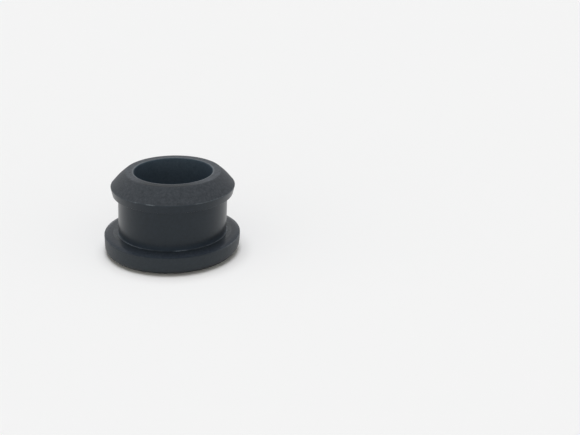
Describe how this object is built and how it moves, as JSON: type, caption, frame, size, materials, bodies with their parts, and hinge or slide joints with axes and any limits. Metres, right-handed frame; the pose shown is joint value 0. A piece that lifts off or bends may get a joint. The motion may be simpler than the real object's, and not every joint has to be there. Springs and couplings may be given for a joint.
{
  "type": "rubber grommet",
  "caption": "Snap-in rubber grommet with a flange, a plain neck, a tapered head and one straight bore.",
  "frame": {"origin": "on the bore's axis, in the plane of the flange's outer face that the grommet stands on", "axes": "+Z along the bore, from the flange to the head; the part is turned about Z, so X and Y are free"},
  "size_m": [0.02, 0.02, 0.0123],
  "materials": {
    "rubber": "matte moulded, glossier neck"
  },
  "bodies": {
    "root": {"grommet": "rubber"}
  },
  "joints": []
}
